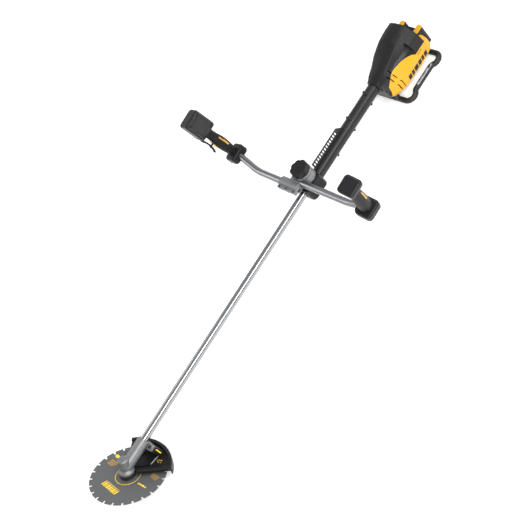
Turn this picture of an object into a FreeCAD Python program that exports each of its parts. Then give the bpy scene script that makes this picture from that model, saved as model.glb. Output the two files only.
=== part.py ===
"""Brush cutter: battery motor head, straight aluminium shaft, bicycle handlebar and disc blade.

The machine is laid out on its shaft.  The shaft frame has its origin on the shaft axis at the
handlebar, +X to the operator's right, +Y forward to the blade and +Z up.  Every node is written in
the part's own frame, whose origin is the middle of the footprint on the ground.
"""
import FreeCAD, Part
import math
import os

V = FreeCAD.Vector
X_AXIS = V(1, 0, 0)
Y_AXIS = V(0, 1, 0)
Z_AXIS = V(0, 0, 1)

# ---- driving dimensions, shaft frame, millimetres and degrees ----
GROUND_Z = -105.0            # surface that the machine lies on
TUBE_R = 12.7                # shaft tube, 25.4 mm outside
TUBE_BORE_R = 11.2
TUBE_REAR = -500.0
TUBE_FRONT = 911.0
DRIVE_R = 4.0                # inner drive shaft
RUN_FIT = 0.08               # radial clearance of running fits
BODY_GAP = 0.3               # clearance between covers of different bodies

CUT_TILT = 30.8              # forward rise of the blade plane
BLADE_CENTRE = V(0, 992.4, -27.6)
BLADE_R = 127.0              # 254 mm disc blade
BLADE_THICK = 1.8
BLADE_TEETH = 24
ARBOR_R = 12.7               # 25.4 mm arbor

COLLAR_R = 20.0              # gearbox collar on the tube
COLLAR_REAR = 873.0
HEAD_R = 18.3
HEAD_TOP = 71.5              # gearbox top above the blade plane
PINION_TEETH = 12
GEAR_TEETH = 16
GEAR_MODULE = 1.75
TOOTH_FACE = 7.0

GUARD_R = 147.0
GUARD_HALF_ANGLE = 48.0
GUARD_PLATE_LOW = 12.0       # underside of the guard plate above the blade plane
GUARD_PLATE_TOP = 15.0
GUARD_RIM_TOP = 25.0

PIVOT_Y = -111.0             # handlebar clamp axis
DISC_R = 31.0
BAR_R = 12.0                 # handlebar tubes, 24 mm outside
BAR_BORE_R = 10.2
BAR_Z = 44.0
RIGHT_BAR_Y = -61.0
LEFT_BAR_Y = -80.0
HANDLE_FOOT = V(316.5, -83.7, 60.1)      # middle of the right hand stop
HANDLE_TOP = V(365.4, -76.6, 229.0)      # middle of the right control box

COVER_R = 20.8               # plastic cover of the rear shaft
COVER_DROP = 5.0             # how far the cover's centre sits below the shaft axis
COVER_REAR = -484.0
COVER_FRONT = -139.0

HEAD_REAR = -708.0
BATTERY_REAR = -734.0
FRONT_Y = BLADE_CENTRE.y + BLADE_R * math.cos(math.radians(CUT_TILT))
FRONT_Y += BLADE_THICK / 2 * math.sin(math.radians(CUT_TILT))
BOX_REACH = 403.64           # widest point of the right control box
CAP_REACH = 395.75           # widest point of the left handle's cap
# the part's origin in the shaft frame
ORIGIN = V((BOX_REACH - CAP_REACH) / 2, (FRONT_Y + BATTERY_REAR) / 2, GROUND_Z)


# ---- helpers ----
def box(x0, x1, y0, y1, z0, z1):
    return Part.makeBox(x1 - x0, y1 - y0, z1 - z0, V(x0, y0, z0))


def cylinder(radius, length, base, axis=Z_AXIS):
    return Part.makeCylinder(radius, length, base, axis)


def ring(outer, inner, length, base, axis=Z_AXIS):
    return cylinder(outer, length, base, axis).cut(cylinder(inner, length, base, axis))


def fuse(shapes):
    first = shapes[0]
    return first.multiFuse(shapes[1:]).removeSplitter() if len(shapes) > 1 else first


def polygon(points):
    return Part.makePolygon(points + [points[0]])


def prism(points, direction):
    return Part.Face(polygon(points)).extrude(direction)


def along_edges(shape, direction):
    """Straight edges of a shape that run along a direction."""
    found = []
    for edge in shape.Edges:
        if edge.Curve.TypeId == "Part::GeomLine":
            if abs(abs(edge.tangentAt(edge.FirstParameter).dot(direction)) - 1) < 1e-6:
                found.append(edge)
    return found


def soft_box(x0, x1, y0, y1, z0, z1, radius, edge_radius=0):
    """A box with its upright edges rounded, and all its other edges too if edge_radius is given."""
    body = box(x0, x1, y0, y1, z0, z1)
    body = body.makeFillet(radius, along_edges(body, Z_AXIS))
    if edge_radius:
        level = [e for e in body.Edges if abs(e.BoundBox.ZMax - e.BoundBox.ZMin) < 1e-6]
        body = body.makeFillet(edge_radius, level)
    return body


def hex_prism(across_flats, height, base, axis=Z_AXIS):
    corner = across_flats / math.sqrt(3)
    points = [V(corner * math.cos(math.radians(a)), corner * math.sin(math.radians(a)), 0)
              for a in range(0, 360, 60)]
    body = prism(points, V(0, 0, height))
    body.Placement = FreeCAD.Placement(base, FreeCAD.Rotation(Z_AXIS, axis))
    return body


def cap_screw(radius, length, base, axis, head=None, head_height=None):
    """Socket-head screw: its head starts at base, and its shank points along -axis."""
    head = head or radius * 1.75
    head_height = head_height or radius * 1.6
    body = cylinder(head, head_height, base, axis)
    body = body.fuse(cylinder(radius, length, base - axis * length, axis)).removeSplitter()
    return body.cut(hex_prism(radius * 1.7, head_height * 0.6, base + axis * (head_height * 0.45), axis))


def mirrored(shape):
    return shape.mirror(V(0, 0, 0), X_AXIS)


def to_cutter(shape):
    """Moves a shape from the blade's frame (X right, Y forward, Z up the spindle) to the shaft frame."""
    moved = shape.copy()
    moved.Placement = FreeCAD.Placement(BLADE_CENTRE, FreeCAD.Rotation(X_AXIS, CUT_TILT)).multiply(
        moved.Placement)
    return moved


SPINDLE_AXIS = FreeCAD.Rotation(X_AXIS, CUT_TILT).multVec(Z_AXIS)
APEX_HEIGHT = -BLADE_CENTRE.z / SPINDLE_AXIS.z      # shaft axis above the blade plane
APEX = BLADE_CENTRE + SPINDLE_AXIS * APEX_HEIGHT

nodes = {}


def keep(name, shape):
    nodes[name] = shape


# ---- bevel gears ----
SHAFT_ANGLE = 90.0 - CUT_TILT
GEAR_RATIO = GEAR_TEETH / PINION_TEETH
PINION_CONE = math.degrees(math.atan2(math.sin(math.radians(SHAFT_ANGLE)),
                                      GEAR_RATIO + math.cos(math.radians(SHAFT_ANGLE))))
GEAR_CONE = SHAFT_ANGLE - PINION_CONE
CONE_LENGTH = GEAR_MODULE * GEAR_TEETH / 2 / math.sin(math.radians(GEAR_CONE))
TOOTH_WIDTH = 0.36 * math.pi * GEAR_MODULE
ADDENDUM = 0.62 * GEAR_MODULE
DEDENDUM = 0.95 * GEAR_MODULE
HUB_DEPTH = 6.0


def bevel_gear(teeth, cone, hub_radius, bore_radius, phase):
    """Bevel gear about +Z with its pitch apex at the origin and its teeth towards the apex."""
    angle = math.radians(cone)
    near = CONE_LENGTH - TOOTH_FACE

    def rim_point(distance, rise):
        return V(distance * math.sin(angle) + rise * math.cos(angle), 0,
                 distance * math.cos(angle) - rise * math.sin(angle))

    back = rim_point(CONE_LENGTH, -DEDENDUM)
    front = rim_point(near, -DEDENDUM * near / CONE_LENGTH)
    profile = [V(bore_radius, 0, front.z), front, back,
               V(back.x - 2.0, 0, back.z + 2.5), V(hub_radius, 0, back.z + 2.5),
               V(hub_radius, 0, back.z + HUB_DEPTH), V(bore_radius, 0, back.z + HUB_DEPTH)]
    blank = Part.Face(polygon(profile)).revolve(V(0, 0, 0), Z_AXIS, 360)

    def tooth_face(distance):
        scale = distance / CONE_LENGTH
        half_root = TOOTH_WIDTH * 0.68 * scale
        half_tip = TOOTH_WIDTH * 0.30 * scale
        root = rim_point(distance, -DEDENDUM * 1.12 * scale)
        tip = rim_point(distance, ADDENDUM * scale)
        return polygon([root + V(0, -half_root, 0), root + V(0, half_root, 0),
                        tip + V(0, half_tip, 0), tip + V(0, -half_tip, 0)])

    tooth = Part.makeLoft([tooth_face(near), tooth_face(CONE_LENGTH)], True, True)
    parts = [blank]
    for index in range(teeth):
        copy = tooth.copy()
        copy.rotate(V(0, 0, 0), Z_AXIS, phase + 360.0 * index / teeth)
        parts.append(copy)
    return fuse(parts)


def place_along(shape, base, axis):
    moved = shape.copy()
    moved.Placement = FreeCAD.Placement(base, FreeCAD.Rotation(Z_AXIS, axis)).multiply(moved.Placement)
    return moved


# ---- cutting head ----
SPINDLE_BEARING_R = 14.0
SPINDLE_BEARING_LOW = 26.0
SPINDLE_BEARING_WIDTH = 8.0
TOP_BEARING_R = 11.0
TOP_BEARING_LOW = 60.5
TOP_BEARING_WIDTH = 7.0
PINION_BEARING_R = 13.0
PINION_BEARING_WIDTH = 8.0
PINION_BEARING_FRONT = 934.0
HEAD_FOOT = 17.0
FLANGE_R = 26.0
SEAL_HEIGHT = 5.0
SHIELD_LOW = 3.0
SHIELD_WALL = 3.0
SHIELD_BORE_R = 14.6
FLANGE_HEIGHT = 7.0
FLANGE_CONE_HEIGHT = 14.0
CAVITY_R = 16.3              # gear chamber
CAVITY_LOW = 35.0
THROAT_R = 13.6              # passage of the pinion into the chamber
THROAT_REAR = 936.0
PINION_SEAT_REAR = 915.0
SPINDLE_R = 6.0
SPINDLE_END_R = 5.0
SPINDLE_TOP_R = 4.0
SPINDLE_LOW = -26.0
PINION_STEM_R = 5.0
PINION_BORE_R = 3.2
COLLAR_SCREWS = (COLLAR_REAR + 27, COLLAR_REAR + 41)
COLLAR_SCREW_R = 2.5
PAD_DROP = 2.0               # screw pad under the collar
STEM_REAR = 914.0
STEM_GRIP = 8.0


def on_spindle(height):
    return BLADE_CENTRE + SPINDLE_AXIS * height


def build_gearbox():
    collar = cylinder(COLLAR_R, APEX.y - COLLAR_REAR, V(0, COLLAR_REAR, 0), Y_AXIS)
    collar = collar.makeFillet(2.0, [collar.Edges[0]])
    profile = [V(0, 0, HEAD_FOOT), V(FLANGE_R, 0, HEAD_FOOT), V(FLANGE_R, 0, HEAD_FOOT + FLANGE_HEIGHT),
               V(HEAD_R, 0, HEAD_FOOT + FLANGE_CONE_HEIGHT), V(HEAD_R, 0, HEAD_TOP), V(0, 0, HEAD_TOP)]
    head = Part.Face(polygon(profile)).revolve(V(0, 0, 0), Z_AXIS, 360)
    rim = [e for e in head.Edges if e.BoundBox.ZMin > HEAD_TOP - 0.1 and e.BoundBox.XLength > HEAD_R]
    head = to_cutter(head.makeFillet(7.0, rim))
    collar = collar.cut(to_cutter(cylinder(FLANGE_R + 1, 2 * HEAD_FOOT, V(0, 0, -HEAD_FOOT))))
    pad = box(-6, 6, COLLAR_SCREWS[0] - 7, COLLAR_SCREWS[1] + 7, -COLLAR_R - PAD_DROP, -COLLAR_R + 5)
    outer = fuse([collar, head, pad])
    cavity = cylinder(CAVITY_R, TOP_BEARING_LOW - CAVITY_LOW, on_spindle(CAVITY_LOW), SPINDLE_AXIS)
    throat = cylinder(THROAT_R, APEX.y - 4 - THROAT_REAR, V(0, THROAT_REAR, 0), Y_AXIS)
    low_seat = cylinder(SPINDLE_BEARING_R, CAVITY_LOW - HEAD_FOOT, on_spindle(HEAD_FOOT), SPINDLE_AXIS)
    top_seat = cylinder(TOP_BEARING_R, TOP_BEARING_WIDTH + 1, on_spindle(TOP_BEARING_LOW - 1), SPINDLE_AXIS)
    pinion_seat = cylinder(PINION_BEARING_R, THROAT_REAR - PINION_SEAT_REAR,
                           V(0, PINION_SEAT_REAR, 0), Y_AXIS)
    tube_seat = cylinder(TUBE_R, TUBE_FRONT - COLLAR_REAR, V(0, COLLAR_REAR, 0), Y_AXIS)
    passage = cylinder(9.0, 10, V(0, TUBE_FRONT - 1, 0), Y_AXIS)
    for tool in (cavity, throat, low_seat, top_seat, pinion_seat, tube_seat, passage):
        outer = outer.cut(tool)
    for y in COLLAR_SCREWS:
        outer = outer.cut(cylinder(COLLAR_SCREW_R, 20, V(0, y, -COLLAR_R - 10)))
    keep("gearbox_housing", outer)


def build_bearings():
    """Deep-groove bearings of the spindle, pinion and motor, each drawn as one closed ring."""
    pinion_rear = PINION_BEARING_FRONT - 2 * PINION_BEARING_WIDTH
    bearings = [
        to_cutter(ring(SPINDLE_BEARING_R, SPINDLE_R + RUN_FIT, SPINDLE_BEARING_WIDTH,
                       V(0, 0, SPINDLE_BEARING_LOW))),
        to_cutter(ring(TOP_BEARING_R, SPINDLE_TOP_R + RUN_FIT, TOP_BEARING_WIDTH,
                       V(0, 0, TOP_BEARING_LOW)))]
    for index in range(2):
        place = V(0, pinion_rear + index * PINION_BEARING_WIDTH, 0)
        bearings.append(ring(PINION_BEARING_R, PINION_STEM_R + RUN_FIT, PINION_BEARING_WIDTH,
                             place, Y_AXIS))
    for y in (MOTOR_FRONT + 0.5, MOTOR_REAR - MOTOR_BEARING_WIDTH - 0.5):
        bearings.append(ring(MOTOR_BEARING_R, MOTOR_SHAFT_R + RUN_FIT, MOTOR_BEARING_WIDTH,
                             V(0, y, 0), Y_AXIS))
    keep("ball_bearings", Part.makeCompound(bearings))


def build_cutting_head():
    build_gearbox()
    build_bearings()
    skirt = ring(FLANGE_R, 22.6, HEAD_FOOT - SHIELD_LOW, V(0, 0, SHIELD_LOW))
    shield = skirt.fuse(ring(FLANGE_R, SHIELD_BORE_R, SHIELD_WALL, V(0, 0, HEAD_FOOT - SHIELD_WALL)))
    keep("gearbox_shield", to_cutter(shield.removeSplitter()))
    seal = ring(SPINDLE_BEARING_R, SPINDLE_R + RUN_FIT, SEAL_HEIGHT, V(0, 0, HEAD_FOOT))
    keep("spindle_seal", to_cutter(seal))

    gear = bevel_gear(GEAR_TEETH, GEAR_CONE, 10.0, SPINDLE_END_R, 0.0)
    keep("crown_gear", place_along(gear, APEX, SPINDLE_AXIS))
    pinion = bevel_gear(PINION_TEETH, PINION_CONE, 8.0, PINION_BORE_R, 180.0 / PINION_TEETH)
    pinion.rotate(V(0, 0, 0), Z_AXIS, -90)
    stem_front = APEX.y - pinion.BoundBox.ZMax
    nose = cylinder(PINION_BORE_R, pinion.BoundBox.ZLength - 0.5, V(0, stem_front, 0), Y_AXIS)
    pinion.Placement = FreeCAD.Placement(APEX, FreeCAD.Rotation(X_AXIS, 90)).multiply(pinion.Placement)
    stem = cylinder(PINION_STEM_R, stem_front - STEM_REAR, V(0, STEM_REAR, 0), Y_AXIS)
    stem = fuse([stem, nose, pinion])
    keep("pinion_gear", stem.cut(cylinder(DRIVE_R, STEM_GRIP, V(0, STEM_REAR, 0), Y_AXIS)))

    gear_back = APEX_HEIGHT + gear.BoundBox.ZMax
    top = TOP_BEARING_LOW + TOP_BEARING_WIDTH - 0.5
    steps = [V(0, 0, SPINDLE_LOW), V(SPINDLE_END_R, 0, SPINDLE_LOW), V(SPINDLE_END_R, 0, 8.0),
             V(SPINDLE_R, 0, 8.0), V(SPINDLE_R, 0, CAVITY_LOW + 1), V(SPINDLE_END_R, 0, CAVITY_LOW + 1),
             V(SPINDLE_END_R, 0, gear_back), V(SPINDLE_TOP_R, 0, gear_back), V(SPINDLE_TOP_R, 0, top),
             V(0, 0, top)]
    keep("cutter_spindle", to_cutter(Part.Face(polygon(steps)).revolve(V(0, 0, 0), Z_AXIS, 360)))


SLOT_PHASE = 1.5             # one slot stands this far off straight forward
SLOT_DEPTH = 10.0
# slot corners: x, height above the rim
SLOT_OUTLINE = ((-2.2, -SLOT_DEPTH), (2.6, -SLOT_DEPTH), (4.6, 2.0), (-3.4, 2.0))
FLANGE_LIP_R = 21.0
WASHER_R = 20.0
WASHER_THICK = 3.5
NUT_ACROSS_FLATS = 17.0
NUT_HEIGHT = 9.0
NUT_DROP = 11.0


def build_blade():
    half = BLADE_THICK / 2
    disc = cylinder(BLADE_R, BLADE_THICK, V(0, 0, -half))
    slot = prism([V(x, BLADE_R + rise, -half) for x, rise in SLOT_OUTLINE], V(0, 0, BLADE_THICK))
    tools = [cylinder(ARBOR_R, BLADE_THICK, V(0, 0, -half))]
    for index in range(BLADE_TEETH):
        tool = slot.copy()
        tool.rotate(V(0, 0, 0), Z_AXIS, SLOT_PHASE + 360.0 * index / BLADE_TEETH)
        tools.append(tool)
    keep("cutting_blade", to_cutter(disc.cut(Part.makeCompound(tools))))
    end = SPINDLE_END_R
    upper = [V(end, 0, half), V(end, 0, -half), V(ARBOR_R, 0, -half), V(ARBOR_R, 0, half),
             V(FLANGE_LIP_R, 0, half), V(FLANGE_LIP_R, 0, 7.5), V(12, 0, 8.5), V(12, 0, 13.0),
             V(SPINDLE_R, 0, 13.0), V(SPINDLE_R, 0, 8.0), V(end, 0, 8.0)]
    keep("drive_flange", to_cutter(Part.Face(polygon(upper)).revolve(V(0, 0, 0), Z_AXIS, 360)))
    top = -half - WASHER_THICK
    keep("clamp_washer", to_cutter(ring(WASHER_R, end, WASHER_THICK, V(0, 0, top))))
    cup = [V(end, 0, top), V(end, 0, top - 2), V(14, 0, top - 2), V(20, 0, top - 9), V(24, 0, top - 9),
           V(23, 0, top - 5), V(16, 0, top)]
    keep("ground_cup", to_cutter(Part.Face(polygon(cup)).revolve(V(0, 0, 0), Z_AXIS, 360)))
    nut = hex_prism(NUT_ACROSS_FLATS, NUT_HEIGHT, V(0, 0, top - NUT_DROP))
    keep("blade_nut", to_cutter(nut.cut(cylinder(end, NUT_HEIGHT, V(0, 0, top - NUT_DROP)))))


def sector(radius_in, radius_out, half_angle, low, high):
    """Annular sector about the spindle, centred on the rear direction."""
    start = 270 - half_angle
    outer = Part.makeCylinder(radius_out, high - low, V(0, 0, low), Z_AXIS, 2 * half_angle)
    inner = Part.makeCylinder(radius_in, high - low, V(0, 0, low), Z_AXIS, 360)
    body = outer.cut(inner)
    body.rotate(V(0, 0, 0), Z_AXIS, start)
    return body


BRACKET_REAR = COLLAR_REAR - 2
BRACKET_FRONT = COLLAR_REAR + 18
BRACKET_TOP = -11.0
BRACKET_LOW = -23.0
BRACKET_HALF = 36.0
POCKET = ((-36, -66), (-15, -107), (15, -107), (36, -66), (8, -36), (-8, -36))
POCKET_DEPTH = 2.0
RIDGE_RISE = 5.0
RIDGE_WIDTH = 3.0
GUARD_RIM_WIDTH = 12.0
GUARD_WALL = 4.0
GUARD_BAR_HALF = 8.0         # rounded bars along the two edges of the guard
GUARD_BAR_LOW = 5.0
GUARD_SCREW_X = (-29.0, 29.0)
GUARD_SCREW_Y = (BRACKET_REAR + BRACKET_FRONT) / 2
GUARD_SCREW_R = 3.0


def pocket_ridge():
    """Raised rim round the hollow in the middle of the guard plate."""
    corners = [V(x, t, GUARD_PLATE_TOP - 1) for x, t in POCKET]
    centre = V(0, -74, GUARD_PLATE_TOP - 1)
    outer = [p + (p - centre).normalize() * RIDGE_WIDTH for p in corners]
    rise = V(0, 0, RIDGE_RISE + 1)
    return prism(outer, rise).cut(prism(corners, rise))


def guard_shell():
    """Plate, raised rim, skirt to the ground and edge bars, in the blade's frame."""
    skirt_low = (GROUND_Z - BLADE_CENTRE.z + GUARD_R * math.sin(math.radians(CUT_TILT)))
    skirt_low /= math.cos(math.radians(CUT_TILT))
    wall_in = GUARD_R - GUARD_WALL
    plate = sector(30, wall_in, GUARD_HALF_ANGLE, GUARD_PLATE_LOW, GUARD_PLATE_TOP)
    hollow_floor = [V(x, t, GUARD_PLATE_TOP - POCKET_DEPTH) for x, t in POCKET]
    plate = plate.cut(prism(hollow_floor, V(0, 0, POCKET_DEPTH)))
    rim = sector(GUARD_R - GUARD_RIM_WIDTH, GUARD_R, GUARD_HALF_ANGLE, GUARD_PLATE_LOW, GUARD_RIM_TOP)
    rim = rim.makeFillet(3.0, [e for e in rim.Edges if e.BoundBox.ZMin > GUARD_RIM_TOP - 0.1])
    skirt = sector(wall_in, GUARD_R, GUARD_HALF_ANGLE, skirt_low, GUARD_PLATE_LOW + 2)
    bars = []
    for side in (-1, 1):
        bar = box(-GUARD_BAR_HALF, GUARD_BAR_HALF, 34, GUARD_R - 2, GUARD_BAR_LOW, GUARD_RIM_TOP - 3)
        bar = bar.makeFillet(5.5, along_edges(bar, Y_AXIS))
        bar.rotate(V(0, 0, 0), Z_AXIS, 180 + side * (GUARD_HALF_ANGLE - 4))
        bars.append(bar)
    return fuse([plate, rim, skirt] + bars)


def build_guard():
    stand = box(-BRACKET_HALF, BRACKET_HALF, BRACKET_REAR, BRACKET_FRONT, -80, BRACKET_LOW)
    stand = stand.cut(to_cutter(box(-60, 60, -200, 60, -90, GUARD_PLATE_LOW + 1)))
    wall = GUARD_WALL
    hollow = box(-BRACKET_HALF + wall, BRACKET_HALF - wall, BRACKET_REAR + wall, BRACKET_FRONT - wall,
                 -90, BRACKET_LOW - 10)
    guard = fuse([to_cutter(guard_shell()), to_cutter(pocket_ridge()), stand.cut(hollow)])
    guard = guard.cut(cylinder(COLLAR_R + BODY_GAP, 200, V(0, COLLAR_REAR - 20, 0), Y_AXIS))
    guard = guard.cut(box(-60, 60, BRACKET_REAR - 1, BRACKET_FRONT + 1, BRACKET_LOW, 60))
    guard = guard.cut(to_cutter(cylinder(FLANGE_R + 0.5, 80, V(0, 0, 0))))
    guard = guard.cut(box(-8, 8, COLLAR_SCREWS[0] - 9, COLLAR_SCREWS[1] + 9, -COLLAR_R - 10, 0))
    bracket = box(-BRACKET_HALF, BRACKET_HALF, BRACKET_REAR, BRACKET_FRONT, BRACKET_LOW, BRACKET_TOP)
    bracket = bracket.makeFillet(5.0, along_edges(bracket, Z_AXIS))
    bracket = bracket.cut(cylinder(COLLAR_R, 60, V(0, COLLAR_REAR - 10, 0), Y_AXIS))
    screws = []
    for x in GUARD_SCREW_X:
        guard = guard.cut(cylinder(GUARD_SCREW_R, 18, V(x, GUARD_SCREW_Y, BRACKET_LOW - 18)))
        bracket = bracket.cut(cylinder(GUARD_SCREW_R, 20, V(x, GUARD_SCREW_Y, BRACKET_LOW - 5)))
        screws.append(cap_screw(GUARD_SCREW_R, 24, V(x, GUARD_SCREW_Y, BRACKET_TOP), Z_AXIS, 4.6, 3.4))
    keep("blade_guard", guard)
    keep("guard_bracket", bracket)
    length = COLLAR_R + PAD_DROP - TUBE_R - BODY_GAP
    for y in COLLAR_SCREWS:
        seat = V(0, y, -COLLAR_R - PAD_DROP)
        screws.append(cap_screw(COLLAR_SCREW_R, length, seat, V(0, 0, -1), 4.2, 3.0))
    keep("cutting_head_screws", Part.makeCompound(screws))


# ---- shaft ----
BUSH_STATIONS = (-380, -80, 220, 520, 800)
COVER_SCREWS_TOP = (-449, -348)
COVER_SCREWS_LOW = (-437, -334, -234)
RAIL_REAR = -306.0
RAIL_FRONT = -150.0
RAIL_TOP = 42.0
RAIL_HALF = 1.75
RAIL_SLOTS = 13
RAIL_PITCH = 10.0
RAIL_SLOT_HALF = 3.1
RAIL_SLOT_LOW = 24.0
RAIL_SLOT_TOP = 38.0
RAIL_FOOT = 13.0
RAIL_NOSE = 14.0             # slope at the rear end of the rail
DRIVE_REAR = -522.0
COVER_WALL = 2.8
COVER_BOSS_R = 5.0
COVER_BOSS_OUT = 2.5
COVER_SCREW_R = 1.6


def screw_places():
    top = [(y, COVER_R - COVER_DROP + COVER_BOSS_OUT) for y in COVER_SCREWS_TOP]
    low = [(y, -COVER_R - COVER_DROP - COVER_BOSS_OUT) for y in COVER_SCREWS_LOW]
    return top + low


def cover_half(side):
    """One half of the clamshell round the rear of the shaft."""
    length = COVER_FRONT - COVER_REAR
    parts = [ring(COVER_R, COVER_R - COVER_WALL, length, V(0, COVER_REAR, -COVER_DROP), Y_AXIS)]
    for y in (COVER_REAR, -400, -290, -190, COVER_FRONT - 5):
        parts.append(cylinder(COVER_R - 2, 5, V(0, y, -COVER_DROP), Y_AXIS))
    for y, z in screw_places():
        parts.append(cylinder(COVER_BOSS_R, 16, V(-8, y, z), X_AXIS))
    ridge = box(-1.4, 1.4, COVER_REAR, COVER_FRONT, COVER_R - 1.5, COVER_R + 1.2)
    ridge.rotate(V(0, 0, 0), Y_AXIS, side * 45)
    ridge.translate(V(0, 0, -COVER_DROP))
    body = fuse(parts + [ridge])
    body = body.cut(cylinder(TUBE_R, length + 2, V(0, COVER_REAR - 1, 0), Y_AXIS))
    x0, x1 = (0, 60) if side > 0 else (-60, 0)
    body = body.common(box(x0, x1, COVER_REAR, COVER_FRONT, -60, 60))
    for y, z in screw_places():
        body = body.cut(cylinder(COVER_SCREW_R, 40, V(-20, y, z), X_AXIS))
    return body.cut(box(-RAIL_HALF, RAIL_HALF, RAIL_REAR - RAIL_NOSE, RAIL_FRONT, RAIL_FOOT, RAIL_TOP))


def build_shaft():
    keep("shaft_tube", ring(TUBE_R, TUBE_BORE_R, TUBE_FRONT - TUBE_REAR, V(0, TUBE_REAR, 0), Y_AXIS))
    keep("drive_shaft", cylinder(DRIVE_R, STEM_REAR + STEM_GRIP - DRIVE_REAR, V(0, DRIVE_REAR, 0), Y_AXIS))
    keep("shaft_bushes", Part.makeCompound(
        [ring(TUBE_BORE_R, DRIVE_R + RUN_FIT, 22, V(0, y, 0), Y_AXIS) for y in BUSH_STATIONS]))
    keep("shaft_cover_right", cover_half(1))
    keep("shaft_cover_left", cover_half(-1))
    outline = ((RAIL_FRONT, RAIL_FOOT), (RAIL_FRONT, RAIL_TOP), (RAIL_REAR + RAIL_NOSE, RAIL_TOP),
               (RAIL_REAR - 6, RAIL_FOOT + 4.5), (RAIL_REAR - 6, RAIL_FOOT))
    rail = prism([V(-RAIL_HALF, y, z) for y, z in outline], V(2 * RAIL_HALF, 0, 0))
    slots = []
    for index in range(RAIL_SLOTS):
        y = RAIL_FRONT - 8 - index * RAIL_PITCH
        slot = box(-5, 5, y - RAIL_SLOT_HALF, y + RAIL_SLOT_HALF, RAIL_SLOT_LOW, RAIL_SLOT_TOP)
        slots.append(slot.makeFillet(2.4, along_edges(slot, X_AXIS)))
    keep("harness_rail", rail.cut(Part.makeCompound(slots)))


# ---- handlebar clamp ----
BASE_HALF = 39.0
BASE_REAR = -138.0
BASE_FRONT = -62.0
BASE_TOP = 27.0
BASE_LOW = -27.0
STUD_R = 5.0
KNOB_LOW = 66.3
KNOB_HIGH = 88.0
KNOB_R = 31.5
DISC_LOW = 29.0
DISC_TOP = 56.0
PLATE_TOP = 66.0
SLEEVE_R = 16.5
SLEEVE_LEFT = -13.0
SLEEVE_RIGHT = 71.0
CAP_SCREW_X = (-5.0, 30.0, 62.0)
BASE_SCREWS = ((-28, -126), (28, -126), (-26, -72), (26, -72))
BASE_SCREW_R = 2.5
BASE_SEAM = 0.6              # half the gap between the base's halves
STUD_HEX = 16.0
STUD_HEAD = 5.0
STUD_LOW = TUBE_R + 0.5
RIGHT_BAR_END = 22.0
LEFT_BAR_END = 18.0
CAP_SCREW_R = 2.5
CAP_SCREW_Y = RIGHT_BAR_Y + SLEEVE_R + 3.5
PLATE_STEP = 1.8
KNOB_DENTS = 8
KNOB_DENT_R = 13.0


def build_base():
    """Ribbed plastic base in two halves round the tube, with its stud, spring and screws."""
    blank = soft_box(-BASE_HALF, BASE_HALF, BASE_REAR, BASE_FRONT, BASE_LOW, BASE_TOP, 16, 4)
    blank = blank.fuse(cylinder(DISC_R, 8, V(0, PIVOT_Y, BASE_TOP - 6))).removeSplitter()
    grooves = []
    for index in range(7):
        y = BASE_REAR + 14 + index * 8
        for x in (-BASE_HALF, BASE_HALF):
            grooves.append(box(x - 1.5, x + 1.5, y, y + 3, BASE_LOW + 6, BASE_TOP - 6))
    blank = blank.cut(Part.makeCompound(grooves))
    blank = blank.cut(cylinder(TUBE_R, 120, V(0, BASE_REAR - 10, 0), Y_AXIS))
    upper = blank.common(box(-60, 60, -200, 0, BASE_SEAM, 60))
    lower = blank.common(box(-60, 60, -200, 0, -60, -BASE_SEAM))
    stud_head = hex_prism(STUD_HEX, STUD_HEAD, V(0, PIVOT_Y, STUD_LOW))
    upper = upper.cut(cylinder(STUD_R, 60, V(0, PIVOT_Y, 0))).cut(stud_head)
    screws = []
    for x, y in BASE_SCREWS:
        hole = cylinder(BASE_SCREW_R, 60, V(x, y, -40))
        upper = upper.cut(hole)
        lower = lower.cut(hole).cut(cylinder(5.0, 8, V(x, y, BASE_LOW - 4)))
        screws.append(cap_screw(BASE_SCREW_R, 34, V(x, y, BASE_LOW + 4), V(0, 0, -1), 4.4, 3.6))
    for y, z in screw_places():
        screws.append(cap_screw(COVER_SCREW_R, 15, V(-8, y, z), V(-1, 0, 0), 3.0, 1.6))
    keep("clamp_base_upper", upper)
    keep("clamp_base_lower", lower)
    keep("cover_and_base_screws", Part.makeCompound(screws))
    stud = cylinder(STUD_R, KNOB_HIGH - 6 - STUD_LOW, V(0, PIVOT_Y, STUD_LOW))
    keep("clamp_stud", stud.fuse(stud_head).removeSplitter())
    keep("clamp_spring", spring(7.4, 0.9, 4, V(0, PIVOT_Y, DISC_LOW + 0.6), 9.0))


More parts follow.
